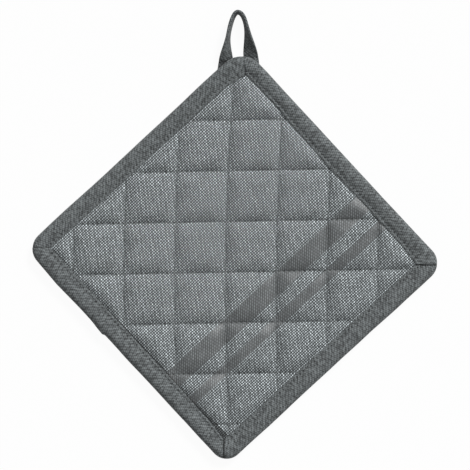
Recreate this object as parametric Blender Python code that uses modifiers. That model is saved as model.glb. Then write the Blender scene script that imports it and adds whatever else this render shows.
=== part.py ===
"""A quilted square pot holder with a bound edge and a hanging loop, lying face up on a table.

Lengths are in metres and angles in radians. The pad is a square seen as a diamond, with the
hanging loop at its +Y corner. The parts are modelled about the pad's centre and are carried by
an empty, which sets the origin under the middle of the whole object.
"""

from math import cos, pi, radians, sin, sqrt, tan

import bmesh
import bpy
from mathutils import Vector

MM = 0.001

# Outline of the pad over its binding
SIDE = 210 * MM
TOP_RADIUS = 17 * MM
SIDE_RADIUS = 12.5 * MM
BOTTOM_RADIUS = 11.5 * MM

# Layers of the pad
CLOTH = 0.5 * MM
SEAM_THICKNESS = 2.8 * MM  # over both cloths, where the quilting pulls the pad together
PUFF_HEIGHT = 3.7 * MM  # rise of a puff over the seams round it, on each face
PUFF_FLAT = 0.3  # share of a quilt square that is the flat top of its puff
PUFF_SHOULDER = 0.12  # share of a quilt square between a seam and the steep part's end
GAP = 0.3 * MM  # between pieces that touch
WADDING_SETBACK = 3 * MM  # the wadding thickens this far inside the cloths' own puffs

# Quilting, as lines across (nearly along X) and lines down (nearly along Y)
QUILT_PITCH = 36 * MM
ACROSS_START = -11.8 * MM
ACROSS_TURN = radians(3.3)
DOWN_START = -5.9 * MM
DOWN_TURN = radians(-1.4)
DOWN_BOW = 0.27  # bow of the lines down, per metre
SHORTEST_SEAM = 12 * MM
THREAD_RADIUS = 0.2 * MM

# Binding tape, folded round the pad's edge
BINDING_WIDTH = 13 * MM
BINDING_THICKNESS = 1 * MM
BACK_WING_THICKNESS = 0.7 * MM
EDGE_ROOM = 1.1 * MM  # between the pad's edge and the inside of the tape's fold
FRONT_CROWN = 0.9 * MM  # rise of the front roll over the stitch line
BACK_CROWN = 0.4 * MM
CROWN_INSET = 4.2 * MM
STITCH_MARGIN = 2.7 * MM  # from the tape's inner edge to the stitches
LIP_MARGIN = 1 * MM
LIP_RISE = 0.25 * MM
MITRE_DIP = 0.07  # share of the height lost in the fold at a corner
CORNER_MARGIN = 2 * MM  # straight run before a corner's turn
CORNER_STEPS = 4

# Lap of the binding's two ends, on the lower left side
LAP_PLACE = 82.5 * MM  # along that side, from the left corner
LAP_LENGTH = 14 * MM
LAP_PROUD = 0.9 * MM
LAP_STEP = 0.5 * MM

# Hanging loop, a tape that lies flat behind the top corner and twists onto its edge above it
LOOP_RISE = 32.8 * MM
LOOP_WIDTH = 10.5 * MM
LOOP_THICKNESS = 2 * MM
LOOP_PRESSED = 1.2 * MM  # thickness of the ends, where they are sewn down
LOOP_LEAN = 3.9 * MM  # the loop's top is this far to the left of the corner
LOOP_TILT = radians(84)
LOOP_EDGE_BEVEL = 0.35  # share of the tape's thickness
LOOP_FOOT_DROP = 4.5 * MM  # the legs reach the binding this far below the corner's tip
LOOP_TUCK = 16 * MM  # length of each end behind the binding
LOOP_STEPS = 12
LOOP_BELLY = 0.53  # share of the rise over which a leg leaves its foot
FOOT_SPLAY = radians(6)
LEFT_FOOT = -11.9 * MM
LEFT_BELLY = -12.2 * MM
LEFT_SHOULDER = 4.1 * MM
LEFT_TWIST_DROP = 6 * MM  # the twist starts this far below the corner's tip
LEFT_TWIST_LENGTH = 22.5 * MM
RIGHT_FOOT = 7.4 * MM
RIGHT_BELLY = 3.8 * MM
RIGHT_SHOULDER = 6.3 * MM
RIGHT_TWIST_DROP = 1 * MM
RIGHT_TWIST_LENGTH = 26 * MM
TABLE_GAP = 0.15 * MM

CLOTH_GREY = (0.200, 0.208, 0.213, 1.0)
WADDING_WHITE = (0.75, 0.74, 0.70, 1.0)
TAPE_GREY = (0.136, 0.147, 0.153, 1.0)
THREAD_GREY = (0.060, 0.066, 0.070, 1.0)

# Sizes that follow from those above
CORNERS = ("right", "top", "left", "bottom")
CORNER_RADII = (SIDE_RADIUS, TOP_RADIUS, SIDE_RADIUS, BOTTOM_RADIUS)
TOP, LEFT, BOTTOM = map(CORNERS.index, ("top", "left", "bottom"))
SHARP_CORNER = SIDE / sqrt(2)  # from the pad's centre to where two sides would meet
SEAM_HALF = SEAM_THICKNESS / 2
MIDDLE = SEAM_HALF + PUFF_HEIGHT  # height of the pad's middle over the table
PUFF_SIDE = (1 - PUFF_FLAT) / 2  # share of a quilt square on each side of the flat top
PUFF_START = BINDING_WIDTH + GAP  # inset at which the puffs begin to rise
CHANNEL_HALF = SEAM_HALF + GAP  # half the space between the binding's two wings
CHANNEL_INSET = BINDING_THICKNESS + EDGE_ROOM
PAD_INSET = CHANNEL_INSET + GAP
STITCH_INSET = BINDING_WIDTH - STITCH_MARGIN
FRONT_GROOVE = CHANNEL_HALF + BINDING_THICKNESS  # height at the stitches, over the middle
BACK_GROOVE = CHANNEL_HALF + BACK_WING_THICKNESS
THREAD_LIFT = GAP + THREAD_RADIUS  # from a surface to the middle of a thread on it
THREAD_ROOM = GAP + 2 * THREAD_RADIUS
LOOP_END_LIFT = MIDDLE - BACK_GROOVE - BACK_CROWN - GAP - LOOP_PRESSED


def tip(corner):
    """Distance from the pad's centre to the tip of a rounded corner."""
    return SHARP_CORNER - CORNER_RADII[corner] * (sqrt(2) - 1)


LOOP_TOP = tip(TOP) + LOOP_RISE
LOOP_FOOT = tip(TOP) - LOOP_FOOT_DROP
FRAME_SHIFT = (LOOP_TOP - tip(BOTTOM)) / 2


def clear_scene():
    for thing in list(bpy.data.objects):
        bpy.data.objects.remove(thing, do_unlink=True)


def make_material(name, colour):
    material = bpy.data.materials.new(name)
    material.use_nodes = True
    shader = material.node_tree.nodes["Principled BSDF"]
    shader.inputs["Base Color"].default_value = colour
    shader.inputs["Roughness"].default_value = 0.9
    shader.inputs["Metallic"].default_value = 0
    return material


class Workshop:
    """The collection that holds the parts, and the empty that carries them."""

    def __init__(self):
        self.collection = bpy.data.collections.new("pot_holder")
        bpy.context.scene.collection.children.link(self.collection)
        self.frame = bpy.data.objects.new("pot_holder_frame", None)
        self.frame.location = (0, -FRAME_SHIFT, 0)
        self.collection.objects.link(self.frame)

    def add(self, name, data, colour):
        part = bpy.data.objects.new(name, data)
        data.materials.append(make_material(name, colour))
        part.parent = self.frame
        self.collection.objects.link(part)
        return part

    def add_shape(self, name, shape, colour):
        mesh = bpy.data.meshes.new(name)
        shape.to_mesh(mesh)
        shape.free()
        mesh.shade_smooth()
        mesh.set_sharp_from_angle(angle=radians(50))
        return self.add(name, mesh, colour)


# Quilting

def seam_across(index, x):
    return ACROSS_START + index * QUILT_PITCH + tan(ACROSS_TURN) * x


def seam_down(index, y):
    return DOWN_START + index * QUILT_PITCH + tan(DOWN_TURN) * y + DOWN_BOW * y * y


def crossing(down, across):
    """The point where a line down meets a line across; either may be a fraction."""
    x = y = 0.0
    for _ in range(12):
        x = seam_down(down, y)
        y = seam_across(across, x)
    return x, y


def quilt_place(x, y):
    """The inverse of crossing: how many lines down and across lie before a point."""
    return (x - seam_down(0, y)) / QUILT_PITCH, (y - seam_across(0, x)) / QUILT_PITCH


def inset(x, y):
    """Distance of a point from the nearest side of the square, inwards."""
    return SIDE / 2 - max(abs(x + y), abs(x - y)) / sqrt(2)


def rise(share):
    """A rounded slope from 0 to 1 as share goes from 0 to 1, and flat after that."""
    return 1 - (1 - min(max(share, 0), 1)) ** 2


def puff(x, y, start):
    """Height of the quilted surface over the seams, which grows from a start inset inwards."""
    height = PUFF_HEIGHT * rise((inset(x, y) - start) / (PUFF_SIDE * QUILT_PITCH))
    for place in quilt_place(x, y):
        from_seam = min(place % 1, 1 - place % 1)
        height *= rise(from_seam / PUFF_SIDE)
    return height


def cut(sheet, way, distance, clear=False):
    """Add an edge across the sheet at a distance along way, and clear what is beyond it."""
    everything = sheet.verts[:] + sheet.edges[:] + sheet.faces[:]
    bmesh.ops.bisect_plane(sheet, geom=everything, dist=GAP / 6, plane_co=way * distance,
                           plane_no=way, clear_outer=clear)


def split_up_the_slope(sheet):
    """Cut each four-sided face from its low corner to its high one, so that puffs stay round."""
    for face in [face for face in sheet.faces if len(face.verts) == 4]:
        first, second, third, fourth = face.verts
        if abs(first.co.z - third.co.z) > abs(second.co.z - fourth.co.z):
            bmesh.utils.face_split(face, first, third)
        else:
            bmesh.utils.face_split(face, second, fourth)
    bmesh.ops.triangulate(sheet, faces=sheet.faces)


def quilted_sheet(shares, start=PUFF_START):
    """The quilted surface over the pad's middle, with edges along the quilting.

    shares places the edges between two seams, from 0 to 1. The sheet is cut to the pad's
    outline, and is flat from there to the start inset.
    """
    reach = int(SHARP_CORNER / QUILT_PITCH) + 2
    lines = [cell + share for cell in range(-reach, reach) for share in shares] + [reach]
    steps = len(lines) - 1
    sheet = bmesh.new()
    bmesh.ops.create_grid(sheet, x_segments=steps, y_segments=steps, size=1)
    for vert in sheet.verts:
        column = round((vert.co.x + 1) / 2 * steps)
        row = round((vert.co.y + 1) / 2 * steps)
        vert.co.xy = crossing(lines[column], lines[row])
    for corner in range(4):
        side_way = Vector((cos((corner + 0.5) * pi / 2), sin((corner + 0.5) * pi / 2), 0))
        cut(sheet, side_way, SIDE / 2 - PAD_INSET, clear=True)
        cut(sheet, side_way, SIDE / 2 - start)
        radius = CORNER_RADII[corner]
        chamfer = SHARP_CORNER - radius * sqrt(2) + (radius - PAD_INSET) / sqrt(2)
        cut(sheet, corner_axis(corner).to_3d(), chamfer, clear=True)
    for vert in sheet.verts:
        vert.co.z = SEAM_HALF + puff(vert.co.x, vert.co.y, start)
    sheet.verts.index_update()
    outside = [inset(*vert.co.xy) < start - GAP for vert in sheet.verts]
    rim_verts = [vert for vert in sheet.verts if outside[vert.index]]
    rim = [edge for edge in sheet.edges if any(outside[vert.index] for vert in edge.verts)]
    bmesh.ops.dissolve_limit(sheet, angle_limit=radians(1), verts=rim_verts, edges=rim)
    split_up_the_slope(sheet)
    return sheet


FACE_SHARES = (0, PUFF_SHOULDER, PUFF_SIDE, 1 - PUFF_SIDE, 1 - PUFF_SHOULDER)
PLAIN_SHARES = (0, PUFF_SIDE, 1 - PUFF_SIDE)


def make_panel(shop, name, shares, side):
    """One of the two cloths: side is 1 for the face and -1 for the back."""
    sheet = quilted_sheet(shares)
    for vert in sheet.verts:
        vert.co.z = MIDDLE + side * vert.co.z
    if side < 0:
        bmesh.ops.reverse_faces(sheet, faces=sheet.faces)
    panel = shop.add_shape(name, sheet, CLOTH_GREY)
    cloth = panel.modifiers.new("cloth", "SOLIDIFY")
    cloth.thickness = CLOTH
    cloth.offset = -1


def make_wadding(shop):
    """The filling, which keeps a gap to the cloths all over."""
    sheet = quilted_sheet(PLAIN_SHARES, PUFF_START + WADDING_SETBACK)
    lower = set(sheet.verts)
    bmesh.ops.extrude_face_region(sheet, geom=sheet.faces[:])
    for vert in sheet.verts:
        side = -1 if vert in lower else 1
        slope_room = GAP * (vert.co.z - SEAM_HALF) / PUFF_HEIGHT
        vert.co.z = MIDDLE + side * (vert.co.z - CLOTH - GAP - slope_room)
    bmesh.ops.recalc_face_normals(sheet, faces=sheet.faces)
    shop.add_shape("wadding", sheet, WADDING_WHITE)


# Threads

def add_thread(shop, name, points, cyclic=False):
    curve = bpy.data.curves.new(name, "CURVE")
    curve.dimensions = "3D"
    curve.bevel_depth = THREAD_RADIUS
    curve.bevel_resolution = 0
    curve.use_fill_caps = True
    line = curve.splines.new("POLY")
    line.points.add(len(points) - 1)
    for place, point in zip(line.points, points):
        place.co = (*point, 1)
    line.use_cyclic_u = cyclic
    shop.add(name, curve, THREAD_GREY)


def stretch_inside(line):
    """The lowest and highest value for which a point of the line lies inside the binding."""
    step = THREAD_RADIUS / 2
    count = int(SHARP_CORNER / step)
    edge = PUFF_START + THREAD_LIFT
    inside = [at * step for at in range(-count, count) if inset(*line(at * step)) > edge]
    return (inside[0], inside[-1]) if inside else (0, 0)


def long_seams(line):
    """The seams of one direction that show inside the binding, as index: (first, last)."""
    reach = int(SHARP_CORNER / QUILT_PITCH) + 1
    stretches = {}
    for index in range(-reach, reach + 1):
        stretches[index] = stretch_inside(lambda along: line(index, along))
    return {index: (first, last) for index, (first, last) in stretches.items()
            if last - first > SHORTEST_SEAM}


def make_quilting(shop, face, side):
    """The threads on one face. A line down is sewn last and passes over each line across."""
    height = MIDDLE + side * (SEAM_HALF + THREAD_LIFT)
    across_seams = long_seams(lambda index, x: (x, seam_across(index, x)))
    for number, (index, ends) in enumerate(across_seams.items(), 1):
        points = [(x, seam_across(index, x), height) for x in ends]
        add_thread(shop, f"{face}_quilting_across_{number}", points)
    down_seams = long_seams(lambda index, y: (seam_down(index, y), y))
    for number, (index, (first, last)) in enumerate(down_seams.items(), 1):
        lifts = {first: 0, last: 0}
        for across, (left, right) in across_seams.items():
            x, y = crossing(index, across)
            if left - THREAD_ROOM < x < right + THREAD_ROOM and first < y < last:
                lifts[y] = side * THREAD_ROOM
            between = crossing(index, across + 0.5)[1]
            if first + THREAD_ROOM < between < last - THREAD_ROOM:
                lifts[between] = 0
        points = [(seam_down(index, y), y, height + lifts[y]) for y in sorted(lifts)]
        add_thread(shop, f"{face}_quilting_down_{number}", points)


# Binding

def corner_axis(corner):
    """The way from the pad's centre to a corner: 0 is the right one, 1 the top one."""
    return Vector((cos(corner * pi / 2), sin(corner * pi / 2)))


def binding_profile():
    """The section of the folded tape, as (inset, height over the pad's middle) pairs."""
    quarter = [radians(degrees) for degrees in (0, 25, 50, 72, 90)]
    front_height = FRONT_GROOVE + FRONT_CROWN
    front = [(CROWN_INSET * (1 - cos(turn)), front_height * sin(turn)) for turn in quarter]
    front += [(STITCH_INSET, FRONT_GROOVE),
              (BINDING_WIDTH - LIP_MARGIN, FRONT_GROOVE + LIP_RISE),
              (BINDING_WIDTH, FRONT_GROOVE - LIP_RISE)]
    channel = [(BINDING_WIDTH, CHANNEL_HALF), (CHANNEL_INSET, CHANNEL_HALF),
               (CHANNEL_INSET, -CHANNEL_HALF), (BINDING_WIDTH, -CHANNEL_HALF)]
    back = [(BINDING_WIDTH, -BACK_GROOVE), (STITCH_INSET, -BACK_GROOVE)]
    back_height = BACK_GROOVE + BACK_CROWN
    back += [(CROWN_INSET * (1 - cos(turn)), -back_height * sin(turn))
             for turn in reversed(quarter[1:])]
    return front + channel + back


class Station:
    """A section of the binding: its outer and inner ends, its share of the lap and of a fold."""

    def __init__(self, outer, inner, lap=0, fold=0):
        self.outer = outer
        self.inner = inner
        self.lap = lap
        self.fold = fold

    def at(self, distance, height):
        """The point at a distance from the outer edge and a height over the pad's middle."""
        in_channel = abs(height) <= CHANNEL_HALF and distance >= CHANNEL_INSET
        if not in_channel:
            distance -= LAP_PROUD * self.lap * max(1 - distance / STITCH_INSET, 0)
            height *= 1 - MITRE_DIP * self.fold
        if not in_channel and height > 0:
            height += LAP_STEP * self.lap * min(height / CHANNEL_HALF, 1)
        flat = self.outer.lerp(self.inner, distance / BINDING_WIDTH)
        return Vector((flat.x, flat.y, MIDDLE + height))


def half_corner(corner, way, normal):
    """Sections from the straight side to a corner's tip; way points back along the side."""
    axis = corner_axis(corner)
    radius = CORNER_RADII[corner]
    centre = axis * (SHARP_CORNER - radius * sqrt(2))
    inner_corner = axis * (SHARP_CORNER - BINDING_WIDTH * sqrt(2))
    zone = max(radius, BINDING_WIDTH) + CORNER_MARGIN
    outer = axis * SHARP_CORNER + way * zone
    sections = [Station(outer, outer - normal * BINDING_WIDTH)]
    for step in range(CORNER_STEPS + 1):
        share = step / CORNER_STEPS
        turn = share * pi / 4
        outer = centre + (normal * cos(turn) - way * sin(turn)) * radius
        back = (zone - BINDING_WIDTH) * (1 - share) * CORNER_STEPS / (CORNER_STEPS + 1)
        sections.append(Station(outer, inner_corner + way * back, fold=int(share)))
    return sections


def lap_sections(ahead, normal):
    """Sections of the lap, which swells slowly and ends in a step."""
    swell = ((LAP_PLACE - LAP_LENGTH, 0), (LAP_PLACE - LAP_LENGTH / 2, 0.7),
             (LAP_PLACE, 1), (LAP_PLACE + LAP_STEP, 0))
    sections = []
    for along, lap in swell:
        outer = corner_axis(LEFT) * SHARP_CORNER + ahead * along
        sections.append(Station(outer, outer - normal * BINDING_WIDTH, lap=lap))
    return sections


def binding_stations():
    """Sections round the whole binding, from the right corner on, turning to the left."""
    stations = []
    for corner in range(4):
        ahead = (corner_axis(corner + 1) - corner_axis(corner)).normalized()
        behind = (corner_axis(corner - 1) - corner_axis(corner)).normalized()
        stations += half_corner(corner, behind, -ahead)
        stations += half_corner(corner, ahead, -behind)[-2::-1]
        if corner == LEFT:
            stations += lap_sections(ahead, -behind)
    return stations


def loft(rings, hoop):
    """A skin over a run of rings; a hoop is joined end to end, and another run is capped."""
    shape = bmesh.new()
    rows = [[shape.verts.new(point) for point in ring] for ring in rings]
    following_rows = rows[1:] + rows[:1] if hoop else rows[1:]
    for row, following in zip(rows, following_rows):
        for place, vert in enumerate(row):
            beside = (place + 1) % len(row)
            shape.faces.new((vert, row[beside], following[beside], following[place]))
    if not hoop:
        shape.faces.new(rows[0])
        shape.faces.new(rows[-1])
    bmesh.ops.recalc_face_normals(shape, faces=shape.faces)
    return shape


def make_binding(shop):
    profile = binding_profile()
    rings = [[station.at(*point) for point in profile] for station in binding_stations()]
    shop.add_shape("binding", loft(rings, hoop=True), TAPE_GREY)


def make_topstitch(shop):
    """The seam that holds the binding. On the back it also sews down the loop's two ends."""
    stations = binding_stations()
    front = [station.at(STITCH_INSET, FRONT_GROOVE + THREAD_LIFT) for station in stations]
    add_thread(shop, "front_topstitch", front, cyclic=True)
    back = [station.at(STITCH_INSET, -BACK_GROOVE - THREAD_LIFT) for station in stations]
    add_thread(shop, "back_topstitch", under_loop_ends(back), cyclic=True)


def under_loop_ends(points):
    """The same run of points, led under each end of the loop where it crosses one."""
    high = points[0].z
    low = LOOP_END_LIFT - THREAD_LIFT
    line = SHARP_CORNER - STITCH_INSET * sqrt(2)
    led = [Vector((0, line, high))]
    for foot, outward in ((RIGHT_FOOT, 1), (LEFT_FOOT, -1)):
        middle = abs(loop_end_middle(foot, outward, line))
        near = middle - LOOP_WIDTH / 2 - THREAD_ROOM
        far = min(middle + LOOP_WIDTH / 2, line - LOOP_FOOT + LOOP_TUCK) + THREAD_ROOM
        if near > 2 * THREAD_ROOM:
            led.append(Vector((outward * (near - THREAD_ROOM), line - near + THREAD_ROOM, high)))
        led.append(Vector((outward * near, line - near, low)))
        led.append(Vector((outward * far, line - far, low)))
        led.append(Vector((outward * (far + THREAD_ROOM), line - far - THREAD_ROOM, high)))
    reach = max(abs(point.x) for point in led) + THREAD_ROOM
    kept = [point for point in points if point.y < 0 or abs(point.x) > reach]
    return sorted(kept + led, key=lambda point: Vector((0, -1)).angle_signed(point.xy))


# Hanging loop

def loop_end_middle(foot, outward, y):
    """Where the middle of a loop's end lies along X, at a place behind the binding."""
    return foot + outward * tan(FOOT_SPLAY) * (LOOP_FOOT - y)


def bezier(first, second, third, fourth, share):
    rest = 1 - share
    return (first * rest ** 3 + second * 3 * rest * rest * share
            + third * 3 * rest * share * share + fourth * share ** 3)


def leg_path(foot, belly, shoulder, outward):
    """The middle line of one half of the loop, from its hidden end to the top."""
    edge = (LOOP_WIDTH / 2 - LOOP_EDGE_BEVEL * LOOP_THICKNESS) * cos(LOOP_TILT)
    top = Vector((-LOOP_LEAN, LOOP_TOP - edge - LOOP_THICKNESS / 2 * sin(LOOP_TILT)))
    start = Vector((foot, LOOP_FOOT))
    belly_handle = Vector((belly, LOOP_FOOT + (top.y - LOOP_FOOT) * LOOP_BELLY))
    shoulder_handle = Vector((top.x + outward * shoulder, top.y))
    tail = []
    for part in (3, 2, 1):
        y = LOOP_FOOT - part / 3 * LOOP_TUCK
        tail.append(Vector((loop_end_middle(foot, outward, y), y)))
    return tail + [bezier(start, belly_handle, shoulder_handle, top, step / LOOP_STEPS)
                   for step in range(LOOP_STEPS + 1)]


def loop_tilt(y, drop, length):
    """How far the tape has turned onto its edge at a height of the loop."""
    share = min(max((y - tip(TOP) + drop) / length, 0), 1)
    return LOOP_TILT * sin(share * pi / 2)


def loop_ring(centre, tangent, tilt):
    """The tape's section, whose lower edge stays near the table as the tape turns."""
    turned = tilt / LOOP_TILT
    half = (LOOP_PRESSED + (LOOP_THICKNESS - LOOP_PRESSED) * turned) / 2
    lift = LOOP_END_LIFT + (TABLE_GAP - LOOP_END_LIFT) * turned
    up = Vector((0, 0, 1))
    outwards = up.cross(tangent.to_3d()).normalized()
    across = outwards * cos(tilt) + up * sin(tilt)
    through = up * cos(tilt) - outwards * sin(tilt)
    middle = centre.to_3d() + up * (lift + LOOP_WIDTH / 2 * sin(tilt) + half * cos(tilt))
    bevel = LOOP_EDGE_BEVEL * 2 * half
    wide = LOOP_WIDTH / 2
    section = ((wide, half - bevel), (wide - bevel, half), (bevel - wide, half),
               (-wide, half - bevel), (-wide, bevel - half), (bevel - wide, -half),
               (wide - bevel, -half), (wide, bevel - half))
    return [middle + across * a + through * b for a, b in section]


def make_loop(shop):
    left = leg_path(LEFT_FOOT, LEFT_BELLY, LEFT_SHOULDER, -1)
    right = leg_path(RIGHT_FOOT, RIGHT_BELLY, RIGHT_SHOULDER, 1)
    path = left + right[-2::-1]
    rings = []
    for place, centre in enumerate(path):
        before = path[max(place - 1, 0)]
        after = path[min(place + 1, len(path) - 1)]
        if place < len(left):
            tilt = loop_tilt(centre.y, LEFT_TWIST_DROP, LEFT_TWIST_LENGTH)
        else:
            tilt = loop_tilt(centre.y, RIGHT_TWIST_DROP, RIGHT_TWIST_LENGTH)
        rings.append(loop_ring(centre, after - before, tilt))
    shop.add_shape("hanging_loop", loft(rings, hoop=False), TAPE_GREY)


def main():
    clear_scene()
    shop = Workshop()
    make_panel(shop, "front_panel", FACE_SHARES, 1)
    make_panel(shop, "back_panel", PLAIN_SHARES, -1)
    make_wadding(shop)
    make_binding(shop)
    make_topstitch(shop)
    make_loop(shop)
    make_quilting(shop, "front", 1)
    make_quilting(shop, "back", -1)


main()
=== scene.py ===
"""The looks of a quilted square pot holder with a bound edge and a hanging loop, lying face up.

Lengths are in metres and angles in radians. The shapes are worked out about the pad's centre, as a
square seen as a diamond with the loop at its +Y corner, and are then put where the frame has it.
The materials work in millimetres about the same centre.
"""

from math import ceil, cos, pi, radians, sin, sqrt, tan

import bmesh
import bpy
import numpy as np
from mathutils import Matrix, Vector, noise


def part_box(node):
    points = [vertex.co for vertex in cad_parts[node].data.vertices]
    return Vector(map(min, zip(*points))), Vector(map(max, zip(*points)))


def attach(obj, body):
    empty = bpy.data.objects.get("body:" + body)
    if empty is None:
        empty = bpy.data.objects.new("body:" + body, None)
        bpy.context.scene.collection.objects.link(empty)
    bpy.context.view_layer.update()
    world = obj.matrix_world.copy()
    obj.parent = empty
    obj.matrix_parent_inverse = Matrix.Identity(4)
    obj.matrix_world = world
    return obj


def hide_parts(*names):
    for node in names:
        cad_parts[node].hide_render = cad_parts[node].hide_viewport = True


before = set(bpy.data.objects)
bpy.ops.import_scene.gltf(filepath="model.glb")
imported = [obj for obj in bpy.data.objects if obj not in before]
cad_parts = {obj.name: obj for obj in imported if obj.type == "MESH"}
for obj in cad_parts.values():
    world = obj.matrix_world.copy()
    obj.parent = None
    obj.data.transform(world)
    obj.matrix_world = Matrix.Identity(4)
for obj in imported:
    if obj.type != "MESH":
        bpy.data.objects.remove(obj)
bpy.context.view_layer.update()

MM = 0.001

# Outline of the pad over its binding
SIDE = 210 * MM
TOP_RADIUS = 17 * MM
SIDE_RADIUS = 12.5 * MM
BOTTOM_RADIUS = 11.5 * MM
CORNERS = ("right", "top", "left", "bottom")
CORNER_RADII = (SIDE_RADIUS, TOP_RADIUS, SIDE_RADIUS, BOTTOM_RADIUS)
TOP, LEFT, BOTTOM = map(CORNERS.index, ("top", "left", "bottom"))
SHARP_CORNER = SIDE / sqrt(2)

# Layers of the pad
CLOTH = 0.5 * MM
SEAM_HALF = 1.4 * MM  # half the pad's thickness at a seam
PUFF_HEIGHT = 3.7 * MM  # rise of a puff over the seams round it
PUFF_SIDE = 0.31  # share of a quilt square on each side of its flat top
BORDER_SLOPE = 9 * MM  # how far the puffs take to rise from the binding
BORDER_TUCK = 0.7 * MM  # how far that rise starts under it
MIDDLE = SEAM_HALF + PUFF_HEIGHT  # height of the pad's middle over the table
GAP = 0.3 * MM  # between pieces that touch
PUCKER = 0.3 * MM
PUCKER_REACH = 4.5 * MM
PUFF_PLAY = 0.12  # how much lower one puff may be than another
SWELL = 0.35 * MM
SWELL_SIZE = 17 * MM
BACK_SWELL = -0.4  # how much of the puckers and swells the back has

# Quilting, as lines across (nearly along X) and lines down (nearly along Y)
QUILT_PITCH = 36 * MM
ACROSS_START = -11.8 * MM
ACROSS_TURN = radians(3.3)
DOWN_START = -5.9 * MM
DOWN_TURN = radians(-1.4)
DOWN_BOW = 0.27  # per metre
SEAM_MARGIN = 0.8 * MM  # between its ends and the binding
SHORTEST_SEAM = 12 * MM
CROSSING_ROUNDS = 12

# The cloths' meshes
FACE_STEPS = 34  # steps across a quilt square
BACK_STEPS = 22
GATHERING = 0.35  # how much closer the steps are beside a seam

# Binding tape, folded round the pad's edge
BINDING_WIDTH = 13 * MM
BINDING_THICKNESS = 1 * MM
EDGE_ROOM = 1.1 * MM  # between the pad's edge and the inside of the tape's fold
CHANNEL_HALF = SEAM_HALF + GAP
CHANNEL_INSET = BINDING_THICKNESS + EDGE_ROOM
PAD_INSET = CHANNEL_INSET + GAP
CROWN_INSET = 4.4 * MM
FRONT_CROWN = 1.35 * MM  # rise of the roll over the stitch line
FRONT_GROOVE = CHANNEL_HALF + 0.75 * MM
BACK_CROWN = 0.5 * MM
BACK_GROOVE = CHANNEL_HALF + 0.65 * MM
STITCH_INSET = 10.6 * MM
LIP_RISE = 0.2 * MM
LIP_THICKNESS = 0.65 * MM
PROFILE_STEPS = 8  # in each quarter of its section
EDGE_WOBBLE = 0.25 * MM
RAGGED = 0.4 * MM  # play of the inner edge
CORNER_MARGIN = 6 * MM  # straight run before a corner's turn
CORNER_STEPS = 16
BINDING_STEP = 0.825 * MM  # a quarter of a stitch
MITRE_STEP = 0.6 * MM  # one side of a mitre lies on the other
MITRE_FADE = 11 * MM  # over which the upper side comes down again
MITRE_CREASE = 1.1 * MM  # depth
MITRE_HALF = 0.85 * MM  # half the crease's width
MITRE_APART = 0.1 * MM  # between the sections of the two sides
MITRE_TURNS = (radians(6), radians(3), 0, radians(8))  # of their outer ends from the corners' tips
MITRE_FOLDS = ((0.8, 1.1), (0.1, 1.0), (0.7, 0.0), (1.1, 1.1))  # how sharp outside and inside, for the crease's depth and its painted shade

# How the sewn tape lies, as (place along a side, millimetres) from the side right of the loop on
OUTER_PLAY = (((0, 1.0), (30, 0.6), (150, 0.6), (185, 0.9), (210, -0.2)),
              ((0, -0.2), (25, -0.1), (60, -0.4), (150, -0.5), (185, -0.1), (210, -0.6)),
              ((0, -0.6), (15, 0.4), (35, 1.0), (60, 0.5), (150, 0.5), (210, 0.7)),
              ((0, 0.7), (20, 0.4), (40, 0.9), (70, 0.6), (140, 0.7), (165, 1.2), (210, 1.0)))
WIDTH_PLAY = (((12, 1.4), (30, 0.1), (60, -0.5), (85, -0.1), (120, 0), (145, -0.8), (160, -1.8),
               (198, -1.3)),
              ((12, 3.6), (25, 1.3), (40, 0.4), (90, 0.7), (150, 0.8), (175, 0.1), (198, 0.4)),
              ((12, 0.4), (60, 0.2), (150, 0.2), (180, -0.4), (198, -1.8)),
              ((12, 1.0), (30, 0.6), (105, 0.6), (180, -0.1), (198, -0.8)))

# Lap of the binding's two ends, on the lower left side
LAP_PLACE = 82.5 * MM
LAP_LENGTH = 14 * MM
LAP_FALL = 2.2 * MM
LAP_PROUD = 0.9 * MM  # how far it stands out beyond the side
LAP_STEP = 0.6 * MM
LAP_DROP = 0.5 * MM  # depth of the crease at its end
LAP_CREASE = 1.6 * MM

# Hanging loop
LOOP_RISE = 32.8 * MM
LOOP_WIDTH = 10.5 * MM
LOOP_THICKNESS = 2 * MM
LOOP_PRESSED = 1.2 * MM
LOOP_LEAN = 3.9 * MM
LOOP_TILT = radians(81)
LOOP_EDGE_BEVEL = 0.35
LOOP_FOOT_DROP = 4.5 * MM
LOOP_TUCK = 16 * MM
LOOP_BELLY = 0.53
FOOT_SPLAY = radians(6)
LEFT_LEG = (-10.9 * MM, -11.2 * MM, 4.1 * MM)  # foot and belly along X, and shoulder
LEFT_TWIST = (6 * MM, 22.5 * MM)  # its start below the corner's tip, and its length
RIGHT_LEG = (7.4 * MM, 3.8 * MM, 6.3 * MM)
RIGHT_TWIST = (1 * MM, 26 * MM)
TABLE_GAP = 0.15 * MM
LOOP_FOOT_SHADES = (1.1, 0.7)  # how much painted shade its left and its right foot get under the binding's edge
FOOT_SHADE = 1.3 * MM
CAD_WING = 0.7 * MM  # the binding's back half in the solids, over the loop's ends
CAD_CROWN = 0.4 * MM
LOOP_END_LIFT = MIDDLE - (CHANNEL_HALF + CAD_WING) - CAD_CROWN - GAP - LOOP_PRESSED
LOOP_GROOVE_MARGIN = 1.6 * MM
LOOP_GROOVE_HALF = 0.35 * MM
LOOP_GROOVE = 0.16 * MM
LOOP_STEPS = 60
LOOP_TAIL_STEPS = 8

# Threads
QUILT_STITCH = 3.6 * MM
BINDING_STITCH = 3.3 * MM
THREAD_RADIUS = 0.22 * MM
STITCH_SHARE = 0.74  # of a stitch's length that shows
STITCH_SIDES = 6
STITCH_RINGS = 7
STITCH_SINK = 0.5 * MM

# The photograph's view
PHOTO_SIDE = 470  # pixels
SIDE_IN_PHOTO = 296  # pixels
CENTRE_IN_PHOTO = (233.775, 255.525)  # pixels from the left and from the top
PHOTO_TURN = radians(2.25)
CAMERA_HEIGHT = 5.0
SENSOR = 36  # millimetres, as for the lens

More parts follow.
